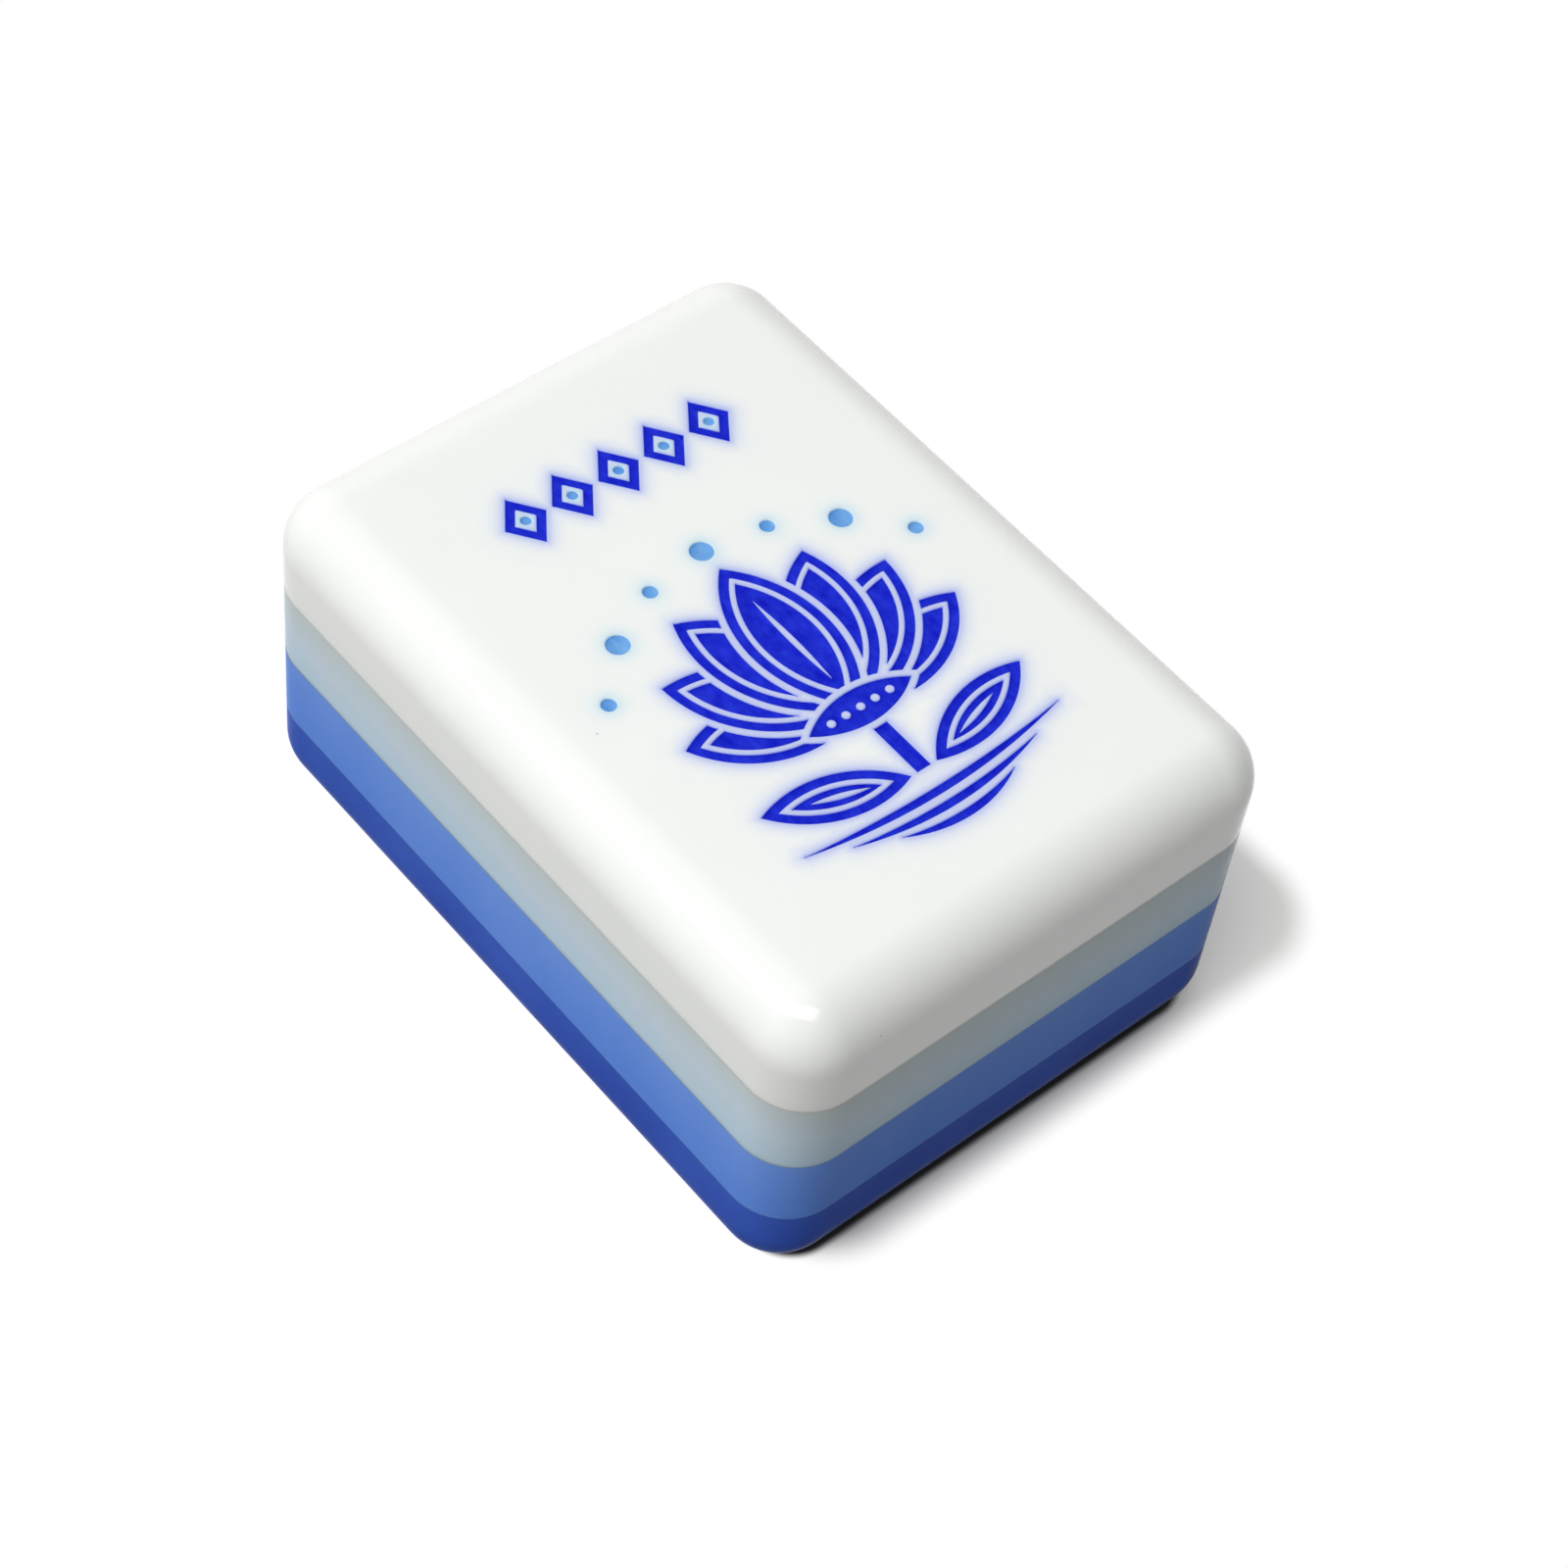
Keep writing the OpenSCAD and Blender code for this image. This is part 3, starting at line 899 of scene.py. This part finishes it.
def patch(surface, shift, widen, inset, fade):
    """0 on a patch like the tile's outline, but moved, widened and drawn in; 1 beyond its fade."""
    split = surface.node("ShaderNodeSeparateXYZ")
    surface.feed(split.inputs[0], surface.vector("SUBTRACT", surface.place_mm, (*shift, 0)))
    beyond = surface.node("ShaderNodeCombineXYZ")
    for axis, core in (("X", (HALF_W - EDGE_R) / MM + widen), ("Y", (HALF_L - EDGE_R) / MM)):
        past = surface.math("SUBTRACT", surface.math("ABSOLUTE", split.outputs[axis]), core)
        surface.feed(beyond.inputs[axis], surface.math("MAXIMUM", past, 0))
    measure = surface.node("ShaderNodeVectorMath", operation="LENGTH")
    surface.feed(measure.inputs[0], beyond.outputs[0])
    start = EDGE_R / MM - inset
    return surface.span(measure.outputs["Value"], start, start + fade, 0, 1, True)


def matte(surface, colour):
    """Shader of a dull, even surface."""
    made = surface.node("ShaderNodeBsdfDiffuse")
    surface.feed(made.inputs["Color"], colour)
    return made.outputs[0]


def floor_material():
    """White floor that shows the tile's shadow close by, with a painted shadow under the tile's rounded
    lower edge, and gives back little light to the tile.
    """
    surface = Surface("floor")
    tree = surface.tree
    tree.nodes.remove(surface.shader)
    white = surface.node("ShaderNodeEmission").outputs[0]
    shadow = patch(surface, SHADOW_SHIFT, SHADOW_WIDEN, SHADOW_INSET, SHADOW_FADE)
    # Mask of the painted shadow under the tile's rounded lower edge
    painted_edge_shadow = patch(surface, PAINTED_CONTACT_SHADOW_SHIFT, PAINTED_CONTACT_SHADOW_WIDEN, PAINTED_CONTACT_SHADOW_INSET, PAINTED_CONTACT_SHADOW_FADE)
    shaded = mixed(tree, shadow, matte(surface, FLOOR_COLOUR), white)
    seen = mixed(tree, painted_edge_shadow, matte(surface, PAINTED_CONTACT_SHADOW), shaded)
    both = mixed(tree, seen_ray(tree), matte(surface, FLOOR_BOUNCE), seen)
    tree.links.new(both, tree.nodes["Material Output"].inputs["Surface"])
    return surface.material


def make_floor():
    """Floor under the tile, which isn't part of it."""
    mesh = bmesh.new()
    bmesh.ops.create_grid(mesh, x_segments=FLOOR_CELLS, y_segments=FLOOR_CELLS, size=FLOOR_HALF)
    data = bpy.data.meshes.new("floor")
    mesh.to_mesh(data)
    mesh.free()
    floor = bpy.data.objects.new("floor", data)
    bpy.context.scene.collection.objects.link(floor)
    coat(floor, floor_material())


make_camera()
build_tile()
make_softbox()
make_world()
make_floor()
bpy.context.scene.view_settings.view_transform = "Standard"
